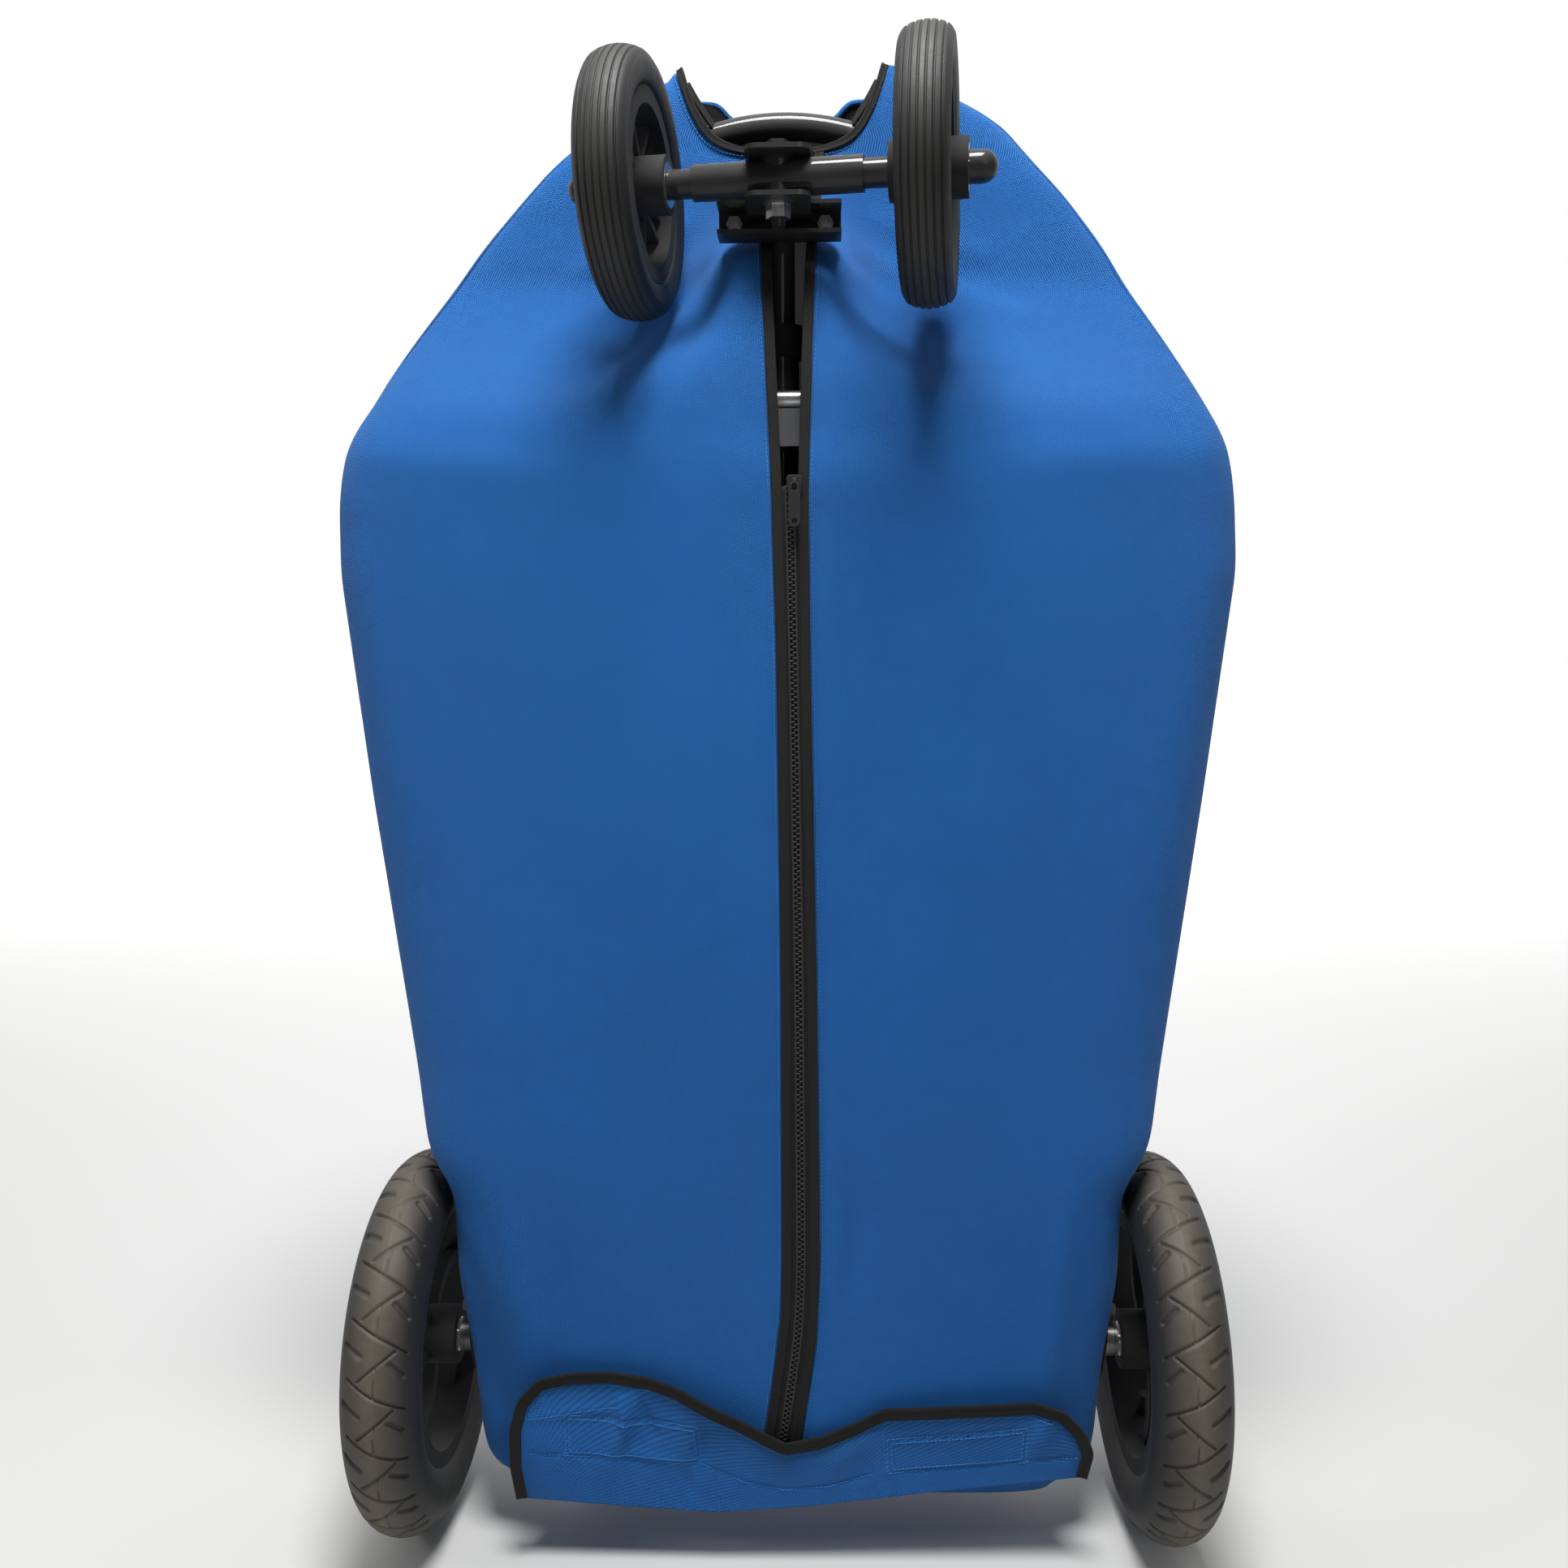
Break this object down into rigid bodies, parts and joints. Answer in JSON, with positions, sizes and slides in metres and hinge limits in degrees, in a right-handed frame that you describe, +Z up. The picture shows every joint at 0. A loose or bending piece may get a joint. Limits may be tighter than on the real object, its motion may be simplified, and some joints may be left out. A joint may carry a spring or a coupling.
{
  "type": "folded push cart in zip-up cover",
  "caption": "Folded push cart standing on two large air-tyred wheels, zipped into a blue fabric cover, with a twin-wheel rocking front axle at the top.",
  "frame": {"origin": "on the floor, midway between the rear wheels, straight below the rear axle", "axes": "+X right, +Y to the back of the stood-up cart, +Z up along the spine"},
  "size_m": [0.7142, 0.3414, 1.2215],
  "materials": {
    "cover_fabric": "coarse royal-blue oxford weave",
    "binding": "matt grey-black woven tape",
    "zip_coil": "black moulded coil",
    "zip_metal": "black lacquered",
    "rear_tyre": "dusty brown-black rubber, worn tread",
    "front_tyre": "smooth black moulded rubber",
    "wheel_plastic": "black nylon, fine grain",
    "tube_black": "satin black powder coat",
    "fitting_black": "black glass-filled nylon",
    "steel_black": "black plated steel",
    "steel": "turned, slightly dull",
    "alloy": "satin anodised",
    "clamp_grey": "mid-grey moulded",
    "rubber_foot": "matt"
  },
  "bodies": {
    "frame": {"rear_axle_rod": "steel", "rear_axle_tube": "tube_black", "axle_collars": "steel", "release_knobs": "clamp_grey", "spine_foot": "fitting_black", "rail_feet": "fitting_black", "spine_tube": "tube_black", "spine_collar": "fitting_black", "strut_tube": "tube_black", "side_rail_left": "tube_black", "side_rail_right": "tube_black", "corner_joints": "fitting_black", "top_hoop": "tube_black", "crossbar": "alloy", "crossbar_clamp": "clamp_grey", "front_bracket": "steel_black", "fork_plate_upper": "steel_black", "fork_plate_lower": "steel_black", "bracket_bolts": "steel", "pivot_bolt": "steel_black", "pivot_washers": "steel", "pivot_nut": "steel", "stand_frame": "tube_black", "stand_feet": "rubber_foot", "cover_front": "cover_fabric", "cover_top_left": "cover_fabric", "cover_top_right": "cover_fabric", "cover_side_left": "cover_fabric", "cover_side_right": "cover_fabric", "cover_back": "cover_fabric", "cover_bottom": "cover_fabric", "neck_binding": "binding", "slit_bindings": "binding", "ear_straps": "binding", "zip_tapes": "binding", "zip_chain": "zip_coil", "zip_stop": "zip_coil"},
    "front_axle": {"axle_sleeve": "steel_black", "axle_stubs": "steel", "axle_spacers": "steel_black", "axle_caps": "steel_black"},
    "front_wheel_left": {"front_tyre_left": "front_tyre", "front_rim_left": "wheel_plastic", "front_bearings_left": "steel"},
    "front_wheel_right": {"front_tyre_right": "front_tyre", "front_rim_right": "wheel_plastic", "front_bearings_right": "steel"},
    "rear_wheel_left": {"rear_tyre_left": "rear_tyre", "inner_tube_left": "rubber_foot", "rear_rim_left": "wheel_plastic", "rear_bearings_left": "steel", "valve_left": "rubber_foot", "hub_cap_left": "wheel_plastic"},
    "rear_wheel_right": {"rear_tyre_right": "rear_tyre", "inner_tube_right": "rubber_foot", "rear_rim_right": "wheel_plastic", "rear_bearings_right": "steel", "valve_right": "rubber_foot", "hub_cap_right": "wheel_plastic"},
    "zip_slider": {"zip_slider": "zip_metal"},
    "zip_pull": {"zip_pull": "zip_metal"},
    "flap": {"flap": "cover_fabric", "flap_binding": "binding", "hook_patches": "binding"}
  },
  "joints": [
    {"name": "front_axle_rock", "type": "hinge", "parent": "frame", "child": "front_axle", "pos_m": [0, -0.061, 1.09], "axis": [0, 0, 1], "range_deg": [0, 14]},
    {"name": "front_wheel_left_spin", "type": "hinge", "parent": "front_axle", "child": "front_wheel_left", "pos_m": [-0.10942, -0.04562, 1.09], "axis": [0.9903, -0.1392, 0], "continuous": true},
    {"name": "front_wheel_right_spin", "type": "hinge", "parent": "front_axle", "child": "front_wheel_right", "pos_m": [0.10942, -0.07638, 1.09], "axis": [0.9903, -0.1392, 0], "continuous": true},
    {"name": "rear_wheel_left_spin", "type": "hinge", "parent": "frame", "child": "rear_wheel_left", "pos_m": [-0.3125, 0, 0.156], "axis": [1, 0, 0], "continuous": true},
    {"name": "rear_wheel_right_spin", "type": "hinge", "parent": "frame", "child": "rear_wheel_right", "pos_m": [0.3125, 0, 0.156], "axis": [1, 0, 0], "continuous": true},
    {"name": "zip_slide", "type": "slide", "parent": "frame", "child": "zip_slider", "axis": [0, 0, -1], "range_m": [0, 0.68]},
    {"name": "zip_pull_swing", "type": "hinge", "parent": "zip_slider", "child": "zip_pull", "pos_m": [0.011, -0.0745, 0.87], "axis": [-1, 0, 0], "range_deg": [0, 150]},
    {"name": "flap_fold", "type": "hinge", "parent": "frame", "child": "flap", "pos_m": [0, -0.0757, 0.056], "axis": [0.9964, 0, 0.0847], "range_deg": [0, 95]}
  ]
}
